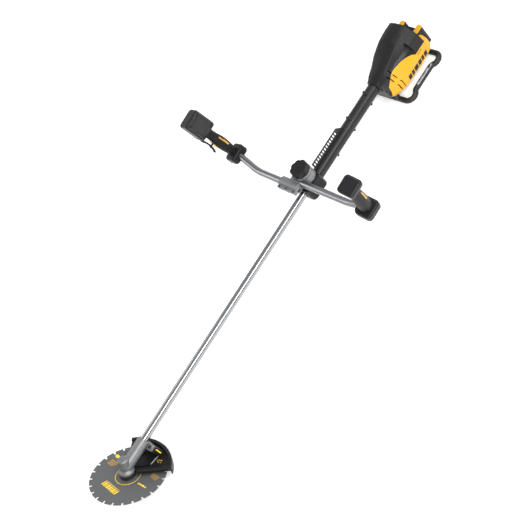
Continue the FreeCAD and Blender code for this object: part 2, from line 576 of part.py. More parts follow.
def build_clamp():
    build_base()
    disc = cylinder(DISC_R, DISC_TOP - DISC_LOW, V(0, PIVOT_Y, DISC_LOW))
    arm = box(SLEEVE_LEFT, 34, PIVOT_Y + 6, RIGHT_BAR_Y, DISC_LOW, DISC_TOP)
    sleeve = cylinder(SLEEVE_R, SLEEVE_RIGHT - SLEEVE_LEFT, V(SLEEVE_LEFT, RIGHT_BAR_Y, BAR_Z), X_AXIS)
    tail = box(34, SLEEVE_RIGHT, RIGHT_BAR_Y - SLEEVE_R, RIGHT_BAR_Y, BAR_Z - 4, BAR_Z + 10)
    body = fuse([disc, arm, sleeve, tail])
    body = body.cut(box(-40, 90, RIGHT_BAR_Y, RIGHT_BAR_Y + 40, BAR_Z - 40, BAR_Z))
    body = body.cut(box(-40, 90, RIGHT_BAR_Y - SLEEVE_R - 1, RIGHT_BAR_Y, BAR_Z - 40, DISC_LOW))
    body = body.cut(cylinder(BAR_R, 100, V(RIGHT_BAR_END, RIGHT_BAR_Y, BAR_Z), X_AXIS))
    body = body.cut(cylinder(BAR_R, 60, V(LEFT_BAR_END - 60, LEFT_BAR_Y, BAR_Z), X_AXIS))
    body = body.cut(cylinder(STUD_R + 0.1, 60, V(0, PIVOT_Y, DISC_LOW - 10)))
    body = body.cut(cylinder(9.2, 11, V(0, PIVOT_Y, DISC_LOW)))
    cap = soft_cap()
    body = body.cut(cap)
    screws = []
    for x in CAP_SCREW_X:
        body = body.cut(cylinder(CAP_SCREW_R, 26, V(x, CAP_SCREW_Y, BAR_Z - 12)))
        cap = cap.cut(cylinder(CAP_SCREW_R, 60, V(x, CAP_SCREW_Y, BAR_Z - 30)))
        screws.append(cap_screw(CAP_SCREW_R, 18, V(x, CAP_SCREW_Y, BAR_Z - 7), V(0, 0, -1), 4.4, 3.6))
    keep("bar_clamp_body", body)
    keep("bar_clamp_cap", cap)
    keep("bar_clamp_screws", Part.makeCompound(screws))
    plate = cylinder(DISC_R + 1, PLATE_TOP - DISC_TOP - PLATE_STEP, V(0, PIVOT_Y, DISC_TOP + PLATE_STEP))
    plate = plate.makeFillet(2.0, [plate.Edges[0], plate.Edges[2]])
    plate = plate.fuse(cylinder(DISC_R - 2.5, PLATE_STEP, V(0, PIVOT_Y, DISC_TOP))).removeSplitter()
    keep("clamp_plate", plate.cut(cylinder(STUD_R + 0.1, 60, V(0, PIVOT_Y, DISC_TOP - 10))))
    build_knob()


def soft_cap():
    """Front and lower half of the right bar's clamp."""
    cap = cylinder(SLEEVE_R, SLEEVE_RIGHT - SLEEVE_LEFT, V(SLEEVE_LEFT, RIGHT_BAR_Y, BAR_Z), X_AXIS)
    cap = cap.common(box(-40, 90, RIGHT_BAR_Y, RIGHT_BAR_Y + 40, BAR_Z - 40, BAR_Z))
    lip = box(SLEEVE_LEFT, SLEEVE_RIGHT, RIGHT_BAR_Y + 12, CAP_SCREW_Y + 5, BAR_Z - 7, BAR_Z + 7)
    lip = lip.makeFillet(3.0, along_edges(lip, X_AXIS))
    cap = cap.fuse(lip).removeSplitter()
    return cap.cut(cylinder(BAR_R, 100, V(SLEEVE_LEFT, RIGHT_BAR_Y, BAR_Z), X_AXIS))


def spring(radius, wire, turns, base, height):
    """Closed coil spring made of stacked rings, so that it stays one tidy solid per turn."""
    coils = []
    for index in range(turns):
        z = base.z + wire + index * (height - 2 * wire) / (turns - 1)
        coils.append(Part.makeTorus(radius, wire, V(base.x, base.y, z), Z_AXIS))
    return Part.makeCompound(coils)


def build_knob():
    knob = cylinder(KNOB_R, KNOB_HIGH - KNOB_LOW, V(0, PIVOT_Y, KNOB_LOW))
    dents = []
    for index in range(KNOB_DENTS):
        dent = cylinder(KNOB_DENT_R, 40, V(0, PIVOT_Y + KNOB_R + KNOB_DENT_R - 2.8, KNOB_LOW - 5))
        dent.rotate(V(0, PIVOT_Y, 0), Z_AXIS, (index + 0.5) * 360.0 / KNOB_DENTS)
        dents.append(dent)
    knob = knob.cut(Part.makeCompound(dents))
    top = [e for e in knob.Edges if e.BoundBox.ZMin > KNOB_HIGH - 0.01]
    knob = knob.makeFillet(2.5, top)
    knob = knob.cut(cylinder(2.6, 10, V(0, PIVOT_Y, KNOB_HIGH - 3)))
    bore = cylinder(STUD_R + RUN_FIT, KNOB_HIGH - 5 - KNOB_LOW, V(0, PIVOT_Y, KNOB_LOW))
    keep("clamp_knob", knob.cut(bore))


# ---- handlebars and handles ----
def bent_bar(points, radii, radius_out, radius_in):
    """Tube along straight runs joined by tangent arcs."""
    edges = []
    start = points[0]
    for index in range(1, len(points) - 1):
        before = (points[index - 1] - points[index]).normalize()
        after = (points[index + 1] - points[index]).normalize()
        half = before.getAngle(after) / 2
        reach = radii[index - 1] / math.tan(half)
        bisector = (before + after).normalize()
        centre = points[index] + bisector * (radii[index - 1] / math.sin(half))
        first = points[index] + before * reach
        last = points[index] + after * reach
        middle = centre - bisector * radii[index - 1]
        edges.append(Part.LineSegment(start, first).toShape())
        edges.append(Part.Arc(first, middle, last).toShape())
        start = last
    edges.append(Part.LineSegment(start, points[-1]).toShape())
    path = Part.Wire(edges)
    heading = (points[1] - points[0]).normalize()
    solids = []
    for radius in (radius_out, radius_in):
        circle = Part.Wire(Part.makeCircle(radius, points[0], heading))
        solids.append(path.makePipeShell([circle], True, False))
    return solids[0].cut(solids[1])


GRIP_AXIS = (HANDLE_TOP - HANDLE_FOOT).normalize()
BOX_MIDDLE = (HANDLE_TOP - HANDLE_FOOT).Length
BOX_HALF_X = 29.5
BOX_HALF_Y = 36.0
BOX_LOW = BOX_MIDDLE - 42.0
BOX_HIGH = BOX_MIDDLE + 42.0
CAP_HALF = 30.0              # hollow cap on the left grip
CAP_LOW = BOX_MIDDLE - 12.0
CAP_HIGH = BOX_MIDDLE + 12.0
STOP_HALF_X = 31.0
STOP_HALF_Y = 33.0
STOP_TOP = 14.0
STOP_LOW = -18.0
GRIP_CORE_R = 11.0
WALL = 3.0
BAR_STOP_IN = 14.0           # how far each bar ends short of the hand stop's middle
RIGHT_BEND = V(193, RIGHT_BAR_Y, BAR_Z)
RIGHT_BEND_R = 180.0
LEFT_BEND = V(-228, LEFT_BAR_Y, BAR_Z)
LEFT_BEND_R = 150.0
TRIGGER_PIVOT = V(0, 21.5, BOX_LOW + 8)
TRIGGER_PIN_R = 2.0
TRIGGER_PIN_LEFT = -13.0
TRIGGER_PIN_LENGTH = 28.0
LOCK_PIVOT = V(0, 12.5, 102.5)
LOCK_PIN_R = 1.5
LOCK_HALF = 4.5
LOCK_ROOM_HALF = 5.5
RIGHT_GRIP_STATIONS = ((STOP_TOP, 17.0), (42, 19.0), (78, 20.5), (110, 17.0), (BOX_LOW, 19.5))
LEFT_GRIP_STATIONS = ((STOP_TOP, 20.0), (45, 22.0), (85, 21.5), (125, 18.5), (CAP_LOW, 17.5))


def on_handle(shape):
    """Moves a shape from the right handle's frame (Z up the grip) to the shaft frame."""
    moved = shape.copy()
    moved.Placement = FreeCAD.Placement(HANDLE_FOOT, FreeCAD.Rotation(Z_AXIS, GRIP_AXIS)).multiply(
        moved.Placement)
    return moved


def grip_skin(stations):
    wires = [Part.Wire(Part.makeCircle(radius, V(0, 0, z), Z_AXIS)) for z, radius in stations]
    return Part.makeLoft(wires, True, False).cut(cylinder(GRIP_CORE_R, 200, V(0, 0, 0)))


def hand_stop(core_top):
    """Rounded block under the hand and the core that carries the grip."""
    block = soft_box(-STOP_HALF_X, STOP_HALF_X, -STOP_HALF_Y, STOP_HALF_Y, STOP_LOW, STOP_TOP, 15, 7)
    core = cylinder(GRIP_CORE_R, core_top - STOP_TOP + 2, V(0, 0, STOP_TOP - 2))
    return block.fuse(core).removeSplitter()


def hollow_box(half_x, half_y, low, high):
    outer = soft_box(-half_x, half_x, -half_y, half_y, low, high, 12, 8)
    inner = soft_box(-half_x + WALL, half_x - WALL, -half_y + WALL, half_y - WALL,
                     low + WALL, high - WALL, 9, 5)
    return outer.cut(inner).cut(cylinder(GRIP_CORE_R, 20, V(0, 0, low - 5)))


def box_shells():
    """Front and rear shells of the control box, open for the trigger and the speed selector."""
    shell = hollow_box(BOX_HALF_X, BOX_HALF_Y, BOX_LOW, BOX_HIGH)
    shell = shell.cut(box(-7.5, 9.5, 10, BOX_HALF_Y + 5, BOX_LOW - 5, BOX_LOW + 16))
    shell = shell.cut(box(-9, 9, -BOX_HALF_Y - 5, -BOX_HALF_Y + 8, BOX_MIDDLE - 13, BOX_MIDDLE + 13))
    return shell.common(box(-60, 60, 0, 60, 100, 300)), shell.common(box(-60, 60, -60, 0, 100, 300))


def trigger_pin():
    base = V(TRIGGER_PIN_LEFT, TRIGGER_PIVOT.y, TRIGGER_PIVOT.z)
    return cylinder(TRIGGER_PIN_R, TRIGGER_PIN_LENGTH, base, X_AXIS)


def trigger_shape():
    """Curved finger lever that hangs from its pin in the control box."""
    p = TRIGGER_PIVOT
    outline = [V(0, p.y - 5, p.z + 5), V(0, p.y + 5, p.z + 5), V(0, 35, p.z - 3), V(0, 37, 128),
               V(0, 33, 112), V(0, 32, 98), V(0, 36, 80), V(0, 41, 70), V(0, 37, 67), V(0, 31, 78),
               V(0, 27, 96), V(0, 27.5, 114), V(0, 29, 128), V(0, 24, p.z - 5), V(0, p.y - 5, p.z - 5)]
    lever = prism(outline, V(12, 0, 0))
    lever.translate(V(-5, 0, 0))
    return lever.cut(cylinder(TRIGGER_PIN_R + RUN_FIT, 20, V(-8, p.y, p.z), X_AXIS))


def cut_bar(shape, bar):
    """Bores a handle for the end of its bar, and keeps the outer piece."""
    return max(shape.cut(bar).Solids, key=lambda solid: solid.Volume)


def build_bars():
    """The two bars, and the same runs filled, which bore the handles."""
    right_end = HANDLE_FOOT - V(BAR_STOP_IN, 0, 0)
    left_end = V(-HANDLE_FOOT.x + BAR_STOP_IN, HANDLE_FOOT.y, HANDLE_FOOT.z)
    right = [V(RIGHT_BAR_END, RIGHT_BAR_Y, BAR_Z), RIGHT_BEND, right_end]
    left = [V(LEFT_BAR_END, LEFT_BAR_Y, BAR_Z), LEFT_BEND, left_end]
    keep("handlebar_right", bent_bar(right, [RIGHT_BEND_R], BAR_R, BAR_BORE_R))
    keep("handlebar_left", bent_bar(left, [LEFT_BEND_R], BAR_R, BAR_BORE_R))
    return bent_bar(right, [RIGHT_BEND_R], BAR_R, 0.5), bent_bar(left, [LEFT_BEND_R], BAR_R, 0.5)


def build_handles():
    right_bar, left_bar = build_bars()
    finger_rest = box(-13, -7.5, 8, 38, 94, 100)
    finger_rest = finger_rest.makeFillet(2.0, along_edges(finger_rest, Y_AXIS))
    lock_room = box(-LOCK_ROOM_HALF, LOCK_ROOM_HALF, 4.5, 24, 52, 107)
    right_stop = hand_stop(BOX_LOW + 6).fuse(finger_rest).removeSplitter().cut(lock_room)
    keep("right_handle_core", cut_bar(on_handle(right_stop), right_bar))
    keep("left_handle_core", cut_bar(mirrored(on_handle(hand_stop(CAP_LOW + 6))), left_bar))
    keep("left_grip", mirrored(on_handle(grip_skin(LEFT_GRIP_STATIONS))))
    keep("right_grip", on_handle(grip_skin(RIGHT_GRIP_STATIONS).cut(lock_room).cut(finger_rest)))

    front, rear = box_shells()
    posts = box(-13, -5.6, 14, 27, BOX_LOW + 1, BOX_LOW + 14)
    posts = posts.fuse(box(7.6, 15, 14, 27, BOX_LOW + 1, BOX_LOW + 14))
    keep("control_box_front", on_handle(front.fuse(posts).removeSplitter().cut(trigger_pin())))
    keep("control_box_rear", on_handle(rear))
    keep("left_cap", mirrored(on_handle(hollow_box(CAP_HALF, CAP_HALF, CAP_LOW, CAP_HIGH))))

    keep("throttle_trigger", on_handle(trigger_shape()))
    lock_pin = cylinder(LOCK_PIN_R, 2 * LOCK_ROOM_HALF,
                        V(-LOCK_ROOM_HALF, LOCK_PIVOT.y, LOCK_PIVOT.z), X_AXIS)
    keep("handle_pins", on_handle(Part.makeCompound([trigger_pin(), lock_pin])))
    lever = ((LOCK_PIVOT.y - 3, 106), (LOCK_PIVOT.y + 5, 106), (21.5, 92), (22.5, 76),
             (21.0, 58), (17.5, 58), (17.5, 92), (LOCK_PIVOT.y - 3, 99))
    lock = prism([V(-LOCK_HALF, y, z) for y, z in lever], V(2 * LOCK_HALF, 0, 0))
    lock = lock.cut(cylinder(LOCK_PIN_R + RUN_FIT, 20, V(-10, LOCK_PIVOT.y, LOCK_PIVOT.z), X_AXIS))
    keep("lock_off_lever", on_handle(lock))
    keep("throttle_switch", on_handle(box(-8, 8, -6, 12, BOX_LOW + 18, BOX_LOW + 38)))
    switch = box(-8.4, 8.4, -BOX_HALF_Y + 0.6, -BOX_HALF_Y + 3.6, BOX_MIDDLE - 6, BOX_MIDDLE + 6)
    thumb = box(-5, 5, -BOX_HALF_Y - 2.4, -BOX_HALF_Y + 1, BOX_MIDDLE - 3, BOX_MIDDLE + 3)
    keep("speed_selector", on_handle(switch.fuse(thumb).removeSplitter()))


# ---- motor head ----
HUMP_REAR = -690.0
# per station along the shaft: y, top half width, top, shoulder half width and height, side half width,
# top and bottom of the side, bottom half width, bottom
BODY_STATIONS = ((-488, 20, 13, 25, 2, 48, -24, -42, 38, -54),
                 (-505, 26, 20, 33, 4, 59, -30, -48, 48, -62),
                 (-540, 33, 27, 48, 8, 73, -26, -52, 60, -68),
                 (-575, 37, 33, 56, 14, 75, -14, -54, 62, -69),
                 (-620, 42, 33, 60, 17, 75, -8, -54, 62, -69),
                 (-660, 44, 30, 60, 15, 74, -6, -54, 62, -69),
                 (-690, 44, 14, 60, 8, 74, -8, -50, 62, -64),
                 (HEAD_REAR, 40, 2, 56, -4, 66, -16, -44, 58, -54))
# per station: y, top half width, height of the top edge, crown, flank half width and height
HUMP_STATIONS = ((-485, 22, 12, 19, 26, 2), (-520, 30, 20, 31, 40, 5), (-574, 37, 43, 52, 46, 28),
                 (-620, 38, 58, 67, 50, 42), (-660, 38.5, 61, 69, 52, 46), (HUMP_REAR, 38, 61, 69, 52, 46))
SIDE_SPLIT = 46.0
BAY_HALF = 48.0
BAY_LOW = -61.5
BAY_TOP = 18.0
BAY_FRONT = -646.0
HOOP_FRONT = -642.0
HOOP_OUTLINE = ((-75, -5), (-65, 33), (-38, 61), (38, 61), (65, 33), (75, -5))
# lower edge of the dark shoulder over each yellow side: y, z
SHOULDER_EDGE = ((-637, -6), (-626, 4), (-606, 12), (-587, 16), (-567, 16), (-547, 13),
                 (-529, 6), (-516, -1), (-506, -12), (-498, -29), (-492, -52))
SIDE_VENTS = ((-527, -12, 1), (-542, -9, 7), (-528, -52, -23), (-543, -50, -18))      # y, bottom, top
FLANK_VENTS = ((-526, 2, 12), (-543, 10, 22))
VENT_HALF = 1.7
SLIT = (-667, -641, -16.5, -13)                  # y and z of the slit behind the hoop's corner
CAVITY_FRONT = -512.0
MOTOR_FRONT = -560.0
MOTOR_REAR = -620.0
MOTOR_SHAFT_R = 5.0
MOTOR_BEARING_R = 11.0
MOTOR_BEARING_WIDTH = 7.0
STATOR_R = 38.0
STATOR_BORE_R = 30.0
STATOR_TEETH = 9
ROTOR_R = 21.0
END_PLATE_THICK = 8.0
FAN_R = 34.0
FAN_REAR = -549.0
FAN_BLADES = 11
COUPLER_REAR = -536.0
COUPLER_R = 10.0


def hump_wire(y, half, edge, crown, flank, flank_top, inset):
    """Arched section of the top cover: crown, two facets and upright sides down to the split."""
    side = flank - inset
    foot = -20 + inset
    left = [V(-side, y, foot), V(-side, y, flank_top - inset), V(-half, y, edge - inset)]
    right = [V(half, y, edge - inset), V(side, y, flank_top - inset), V(side, y, foot)]
    outline = [(left[0], left[1]), (left[1], left[2]), (right[0], right[1]), (right[1], right[2]),
               (right[2], left[0])]
    edges = [Part.LineSegment(first, last).toShape() for first, last in outline]
    edges.insert(2, Part.Arc(left[2], V(0, y, crown - inset), right[0]).toShape())
    return Part.Wire(edges)


def body_wire(y, a, top, s, shoulder, w, side_top, side_low, b, low, inset):
    right = [(a - inset, top - inset), (s - inset, shoulder - inset), (w - inset, side_top),
             (w - inset, side_low), (b - inset, low + inset)]
    left = [(-x, z) for x, z in right[::-1]]
    return polygon([V(x, y, z) for x, z in right + left])


def body_solid(inset):
    wires = [body_wire(station[0], *station[1:], inset) for station in BODY_STATIONS]
    return Part.makeLoft(wires, True, True)


def hump_solid(inset):
    wires = [hump_wire(station[0], *station[1:], inset) for station in HUMP_STATIONS]
    return Part.makeLoft(wires, True, True)


def shoulders():
    """Everything above the curved upper edge of the yellow sides."""
    curve = Part.BSplineCurve()
    curve.interpolate([V(0, y, z) for y, z in SHOULDER_EDGE])
    first = SHOULDER_EDGE[0]
    last = SHOULDER_EDGE[-1]
    front = last[0] + 20
    rear = HOOP_FRONT - 3
    frame = [V(0, *last), V(0, front, last[1]), V(0, front, 100), V(0, rear, 100),
             V(0, rear, first[1]), V(0, *first)]
    wire = Part.Wire([curve.toShape()] + Part.makePolygon(frame).Edges)
    body = Part.Face(wire).extrude(V(200, 0, 0))
    body.translate(V(-100, 0, 0))
    return body


def slots(places):
    cuts = [box(-90, 90, y - VENT_HALF, y + VENT_HALF, low, high) for y, low, high in places]
    return Part.makeCompound(cuts)


def build_motor_head():
    body = body_solid(0)
    hump = hump_solid(0)
    room = box(-100, 100, BAY_FRONT + 6, CAVITY_FRONT, -100, 100)
    cavity = body_solid(4.0).fuse(hump_solid(4.0)).common(room)
    bay = box(-BAY_HALF, BAY_HALF, -900, BAY_FRONT, BAY_LOW, BAY_TOP)
    spine = box(-SIDE_SPLIT, SIDE_SPLIT, -800, -400, -100, 100)
    sides = body.cut(spine).cut(hump).cut(cavity).cut(bay)
    upper = shoulders()
    flanks = sides.common(upper)
    sides = sides.cut(upper).cut(slots(SIDE_VENTS)).cut(box(-90, 90, *SLIT))
    keep("side_housing_right", sides.common(box(0, 100, -800, -400, -100, 100)))
    keep("side_housing_left", sides.common(box(-100, 0, -800, -400, -100, 100)))

    hoop = prism([V(x, HUMP_REAR, z) for x, z in HOOP_OUTLINE], V(0, HOOP_FRONT - HUMP_REAR, 0))
    hoop = hoop.makeFillet(6.0, [e for e in along_edges(hoop, Y_AXIS) if e.BoundBox.ZMin > 30])
    hoop = hoop.cut(prism([V(x * 0.94, HUMP_REAR + 4, z - 5) for x, z in HOOP_OUTLINE], V(0, 90, 0)))
    hoop = hoop.cut(body).cut(hump)
    core = body.common(spine)
    tools = [cavity, bay, cylinder(TUBE_R, 80, V(0, -560, 0), Y_AXIS), terminal_block()]
    top = fuse([hump, core.common(box(-60, 60, -800, -400, -20, 100)), hoop, flanks])
    base = core.common(box(-60, 60, -800, -400, -100, -20))
    for tool in tools:
        top = top.cut(tool)
        base = base.cut(tool)
    keep("motor_cover", top.cut(slots(FLANK_VENTS)))
    keep("motor_base", base)
    build_motor()
    build_battery()
    build_foot()


def terminal_block():
    return box(-22, 22, BAY_FRONT, BAY_FRONT + 7, -28, -6)


def end_plate(y):
    """Spoked plate that carries a motor bearing."""
    plate = ring(STATOR_R, MOTOR_BEARING_R, END_PLATE_THICK, V(0, y, 0), Y_AXIS)
    lugs = box(-STATOR_R - 3, STATOR_R + 3, y, y + END_PLATE_THICK, -8, 8)
    lugs = lugs.cut(cylinder(27, END_PLATE_THICK, V(0, y, 0), Y_AXIS))
    holes = []
    for angle in range(30, 390, 60):
        place = V(21 * math.cos(math.radians(angle)), y, 21 * math.sin(math.radians(angle)))
        holes.append(cylinder(5.5, END_PLATE_THICK, place, Y_AXIS))
    return plate.fuse(lugs).removeSplitter().cut(Part.makeCompound(holes))


def build_motor():
    stator = [ring(STATOR_R, STATOR_BORE_R, MOTOR_FRONT - MOTOR_REAR, V(0, MOTOR_REAR, 0), Y_AXIS)]
    for index in range(STATOR_TEETH):
        tooth = box(-5, 5, MOTOR_REAR + 6, MOTOR_FRONT - 6, ROTOR_R + 0.8, STATOR_BORE_R + 1)
        tooth.rotate(V(0, 0, 0), Y_AXIS, 360.0 * index / STATOR_TEETH)
        stator.append(tooth)
    keep("motor_stator", fuse(stator))
    magnets = cylinder(ROTOR_R, MOTOR_FRONT - MOTOR_REAR - 12, V(0, MOTOR_REAR + 6, 0), Y_AXIS)
    keep("motor_rotor", fuse([magnets, cylinder(MOTOR_SHAFT_R, 100, V(0, MOTOR_REAR - 14, 0), Y_AXIS)]))
    plates = [end_plate(MOTOR_FRONT), end_plate(MOTOR_REAR - END_PLATE_THICK)]
    keep("motor_end_plates", Part.makeCompound(plates))
    fan = [ring(12, MOTOR_SHAFT_R, 10, V(0, FAN_REAR, 0), Y_AXIS)]
    for index in range(FAN_BLADES):
        blade = box(-1, 1, FAN_REAR, FAN_REAR + 9, 10, FAN_R)
        blade.rotate(V(0, FAN_REAR + 5, 20), Z_AXIS, 24)
        blade.rotate(V(0, 0, 0), Y_AXIS, 360.0 * index / FAN_BLADES)
        fan.append(blade)
    keep("cooling_fan", fuse(fan))
    coupler = cylinder(COUPLER_R, 22, V(0, COUPLER_REAR, 0), Y_AXIS)
    coupler = coupler.cut(cylinder(MOTOR_SHAFT_R, 4, V(0, COUPLER_REAR - 2, 0), Y_AXIS))
    keep("drive_coupler", coupler.cut(cylinder(DRIVE_R, 30, V(0, DRIVE_REAR, 0), Y_AXIS)))
    board = box(-40, 40, BAY_FRONT + 7, BAY_FRONT + 9, -50, 20)
    keep("motor_controller", Part.makeCompound([board, terminal_block()]))


CASE_HALF = 46.5
CASE_TOP = -14.0
CHEEK_TOP = 12.0
CHEEK_WIDTH = 18.0
CASE_REAR = BATTERY_REAR + 1.5
LATCH_Z = -36.0
LATCH_HALF_X = 13.0
LATCH_HALF_Z = 6.0
CELL_R = 9.1
CELL_LENGTH = 65.0


def build_battery():
    low = BAY_LOW + 1
    front = BAY_FRONT - 1.5
    case = soft_box(-CASE_HALF, CASE_HALF, CASE_REAR, front, low, CHEEK_TOP, 7)
    middle = box(-CASE_HALF + CHEEK_WIDTH, CASE_HALF - CHEEK_WIDTH, -800, -600, CASE_TOP, 90)
    case = case.cut(middle)
    case = case.cut(box(-CASE_HALF + 3, CASE_HALF - 3, CASE_REAR + 8, front - 3, low + 3, CASE_TOP - 3))
    for x in (-CASE_HALF, CASE_HALF):
        for y in (CASE_REAR + 14, CASE_REAR + 22):
            case = case.cut(box(x - 1.2, x + 1.2, y, y + 2.5, low - 1, CHEEK_TOP + 1))
    room_x = LATCH_HALF_X + BODY_GAP
    room_z = LATCH_HALF_Z + BODY_GAP
    case = case.cut(box(-room_x, room_x, CASE_REAR - 1, CASE_REAR + 5.5,
                        LATCH_Z - room_z, LATCH_Z + room_z))
    keep("battery_case", case)
    trim = soft_box(-CASE_HALF, CASE_HALF, CASE_REAR, front, CHEEK_TOP, CHEEK_TOP + 4, 7)
    keep("battery_trim", trim.cut(middle))
    cells = []
    for column in (-1.5, -0.5, 0.5, 1.5):
        for row in range(2):
            foot = V(column * 21.0, CASE_REAR + 11, low + 13.5 + row * 19)
            cells.append(cylinder(CELL_R, CELL_LENGTH, foot, Y_AXIS))
    keep("battery_cells", Part.makeCompound(cells))
    keep("battery_latch", soft_box(-LATCH_HALF_X, LATCH_HALF_X, BATTERY_REAR, CASE_REAR + 2.5,
                                   LATCH_Z - LATCH_HALF_Z, LATCH_Z + LATCH_HALF_Z, 1))


FOOT_R = 9.5
FOOT_Z = GROUND_Z + 8.0
LOBE_R = 24.0
LOBE_X = 62.0
LOBE_FRONT = -537.0
LOBE_REAR = -681.0
NECK_R = 17.0
POST_X = 34.0
POST_R = 8.0


def foot_corner(centre_y, sign):
    """Lobe of the foot loop on the left side: a three-eighths turn and the sweep back to the straight."""
    c = V(-LOBE_X, centre_y, FOOT_Z)
    start = c + V(0, sign * LOBE_R, 0)
    turn = math.radians(45)
    end = c + V(-LOBE_R * math.cos(turn), -sign * LOBE_R * math.sin(turn), 0)
    middle_angle = math.radians(22.5)
    middle = c + V(-LOBE_R * math.cos(middle_angle), sign * LOBE_R * math.sin(middle_angle), 0)
    neck = c + V(-(LOBE_R + NECK_R) * math.cos(turn), -sign * (LOBE_R + NECK_R) * math.sin(turn), 0)
    last = neck + V(NECK_R, 0, 0)
    half = math.radians(22.5)
    inner = neck + V(NECK_R * math.cos(half), sign * NECK_R * math.sin(half), 0)
    return [Part.Arc(start, middle, end).toShape(), Part.Arc(end, inner, last).toShape()], start, last


def build_foot():
    front_edges, front_start, front_last = foot_corner(LOBE_FRONT, 1)
    rear_edges, rear_start, rear_last = foot_corner(LOBE_REAR, -1)
    middle_front = V(0, front_start.y, FOOT_Z)
    middle_rear = V(0, rear_start.y, FOOT_Z)
    path = Part.Wire([Part.LineSegment(middle_front, front_start).toShape()] + front_edges
                     + [Part.LineSegment(front_last, rear_last).toShape()] + rear_edges[::-1]
                     + [Part.LineSegment(rear_start, middle_rear).toShape()])
    circle = Part.Wire(Part.makeCircle(FOOT_R, middle_front, X_AXIS))
    half = path.makePipeShell([circle], True, False)
    loop = fuse([half, mirrored(half)])
    posts = []
    for x in (-POST_X, POST_X):
        posts.append(cylinder(POST_R, 50, V(x, front_start.y, FOOT_Z)))
        posts.append(cylinder(POST_R, 50, V(x, rear_start.y, FOOT_Z), V(0, 25, 37)))
    loop = fuse([loop] + posts)
    loop = loop.cut(box(-120, 120, -800, -400, GROUND_Z - 20, GROUND_Z))
    loop = loop.cut(body_solid(0)).common(box(-120, 120, -800, -400, GROUND_Z, -48))
    loop = loop.cut(box(-BAY_HALF, BAY_HALF, -800, BAY_FRONT + 30, BAY_LOW - 3, 0))
    keep("foot_frame", max(loop.Solids, key=lambda solid: solid.Volume))


def main():
    build_cutting_head()
    build_blade()
    build_guard()
    build_shaft()
    build_clamp()
    build_handles()
    build_motor_head()
    os.makedirs("parts", exist_ok=True)
    for name, shape in nodes.items():
        placed = shape.copy()
        placed.translate(V(0, 0, 0) - ORIGIN)
        placed.exportStep("parts/" + name + ".step")
        solids = placed.Solids
        if not placed.isValid() or not solids:
            print("check", name, placed.isValid(), len(solids))
    print(len(nodes), "nodes")


main()
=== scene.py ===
"""Battery brush cutter: materials, printed marks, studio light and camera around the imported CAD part."""

import math

import bmesh
import bpy
from mathutils import Matrix, Vector


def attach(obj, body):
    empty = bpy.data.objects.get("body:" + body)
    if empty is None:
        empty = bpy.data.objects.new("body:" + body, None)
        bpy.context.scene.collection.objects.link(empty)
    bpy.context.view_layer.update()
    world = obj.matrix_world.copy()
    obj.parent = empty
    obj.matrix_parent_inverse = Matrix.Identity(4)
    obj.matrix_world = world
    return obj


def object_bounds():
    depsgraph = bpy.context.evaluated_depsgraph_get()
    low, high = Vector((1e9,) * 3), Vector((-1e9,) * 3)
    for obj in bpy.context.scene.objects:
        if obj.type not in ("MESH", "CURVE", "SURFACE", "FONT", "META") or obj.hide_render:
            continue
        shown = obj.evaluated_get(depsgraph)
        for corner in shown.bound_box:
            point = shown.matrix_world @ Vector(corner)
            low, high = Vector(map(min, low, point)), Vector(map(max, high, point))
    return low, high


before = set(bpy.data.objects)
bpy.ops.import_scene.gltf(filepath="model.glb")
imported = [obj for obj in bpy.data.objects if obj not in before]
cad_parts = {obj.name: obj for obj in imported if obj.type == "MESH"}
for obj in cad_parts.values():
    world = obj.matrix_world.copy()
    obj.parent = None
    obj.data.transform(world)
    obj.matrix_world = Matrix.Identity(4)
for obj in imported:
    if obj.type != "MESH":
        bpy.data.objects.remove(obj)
CAD_BOX = [list(corner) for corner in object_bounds()]

# ---- places, in the shaft frame: millimetres, +X to the operator's right, +Y to the blade, +Z up ----
MM = 0.001
ORIGIN = Vector((3.945, 183.974, -105.0))      # the part's origin
FORWARD = (0, 1, 0)
REARWARD = (0, -1, 0)
UPWARD = (0, 0, 1)

CAMERA_PLACE = (-2571.2, 598.3, 2602.6)
LENS = 78.01                                   # focal length, for a film 36 mm wide
FILM_WIDTH = 36.0
VIEW_RIGHT = Vector((-0.64075, -0.54187, -0.54388))
VIEW_UP = Vector((0.32647, -0.83348, 0.44578))
VIEW_BACK = Vector((-0.69488, 0.10807, 0.71096))

BLADE_CENTRE = Vector((0, 992.4, -27.6))
BLADE_TILT = math.radians(30.8)
BLADE_RIGHT = Vector((1, 0, 0))
BLADE_FORWARD = Vector((0, math.cos(BLADE_TILT), math.sin(BLADE_TILT)))
BLADE_UP = Vector((0, -math.sin(BLADE_TILT), math.cos(BLADE_TILT)))

BOX_CENTRE = (365.4, -76.6, 229.0)             # middle of the right control box
GRIP_AXIS = Vector((48.9, 7.1, 168.9)).normalized()
BOX_INNER_SIDE = Vector((-0.960, 0.0, 0.278))  # outward from the face towards the shaft


def place(x, y, z):
    """A point of the shaft frame, in mm, as a point of the row frame, in metres."""
    return (Vector((x, y, z)) - ORIGIN) * MM


# ---- materials ----
ROUGHNESS_SPREAD = 0.07
MOTTLE_FROM = 0.3
MOTTLE_TO = 0.7
BUMP_STRENGTH = 0.6
EDGE_SAMPLES = 4

